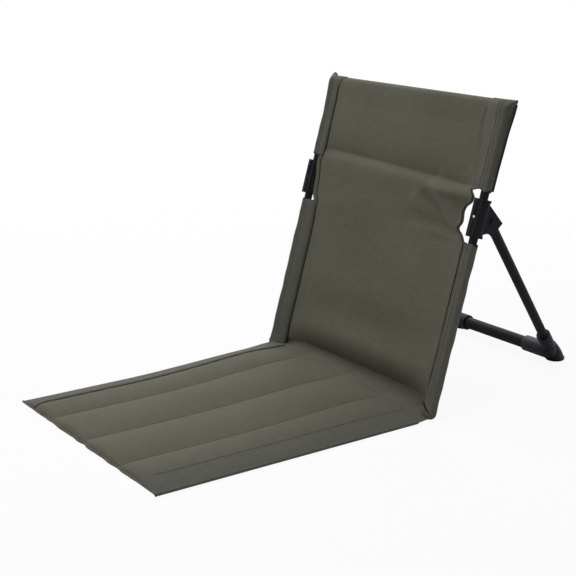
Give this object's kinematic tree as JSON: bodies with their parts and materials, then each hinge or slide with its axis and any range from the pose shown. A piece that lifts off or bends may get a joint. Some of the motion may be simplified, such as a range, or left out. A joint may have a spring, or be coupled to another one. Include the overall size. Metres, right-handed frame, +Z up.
{
  "type": "folding camping chair",
  "caption": "Legless folding ground chair: a quilted cloth seat mat on the floor, a cloth back on a tube frame, and a fold-out rear leg that props the back.",
  "frame": {"origin": "middle of the seat mat's underside, on the floor", "axes": "+X to the side, +Y from the front hem to the back, +Z up"},
  "size_m": [0.4398, 0.8394, 0.4636],
  "materials": {
    "olive_cloth": "matt woven",
    "foam": "soft foam",
    "black_tube": "satin powder coat",
    "black_plastic": "fine moulded grain",
    "black_rubber": "matt",
    "bare_steel": "plain"
  },
  "bodies": {
    "seat": {"seat_bottom_cover": "olive_cloth", "seat_top_cover": "olive_cloth", "seat_front_hem": "olive_cloth", "fold_strip": "olive_cloth", "seat_foam_1": "foam", "seat_foam_2": "foam", "seat_foam_3": "foam", "seat_foam_4": "foam", "seat_band_left": "olive_cloth", "seat_band_right": "olive_cloth"},
    "backrest": {"back_panel": "olive_cloth", "fold_hem": "olive_cloth", "top_hem": "olive_cloth", "lower_sleeve_left": "olive_cloth", "lower_sleeve_right": "olive_cloth", "upper_sleeve_left": "olive_cloth", "upper_sleeve_right": "olive_cloth", "corner_pocket_left": "olive_cloth", "corner_pocket_right": "olive_cloth", "top_rail": "black_tube", "back_tube_left": "black_tube", "back_tube_right": "black_tube", "corner_elbow_left": "black_plastic", "corner_elbow_right": "black_plastic", "tube_cap_left": "black_plastic", "tube_cap_right": "black_plastic", "bracket_left": "black_plastic", "bracket_right": "black_plastic", "bracket_rivets": "bare_steel", "pivot_pin_left": "bare_steel", "pivot_pin_right": "bare_steel"},
    "leg": {"strut_head_left": "black_plastic", "strut_head_right": "black_plastic", "strut_left": "black_tube", "strut_right": "black_tube", "foot_block_left": "black_plastic", "foot_block_right": "black_plastic", "foot_pad_left": "black_rubber", "foot_pad_right": "black_rubber", "crossbar": "black_tube", "foot_screws": "bare_steel"}
  },
  "joints": [
    {"name": "back_fold", "type": "hinge", "parent": "seat", "child": "backrest", "pos_m": [0, 0.2325, 0.0094], "axis": [1, 0, 0], "range_deg": [0, 94]},
    {"name": "leg_fold", "type": "hinge", "parent": "backrest", "child": "leg", "pos_m": [0, 0.33544, 0.28673], "axis": [-1, 0, 0], "range_deg": [0, 57]}
  ]
}
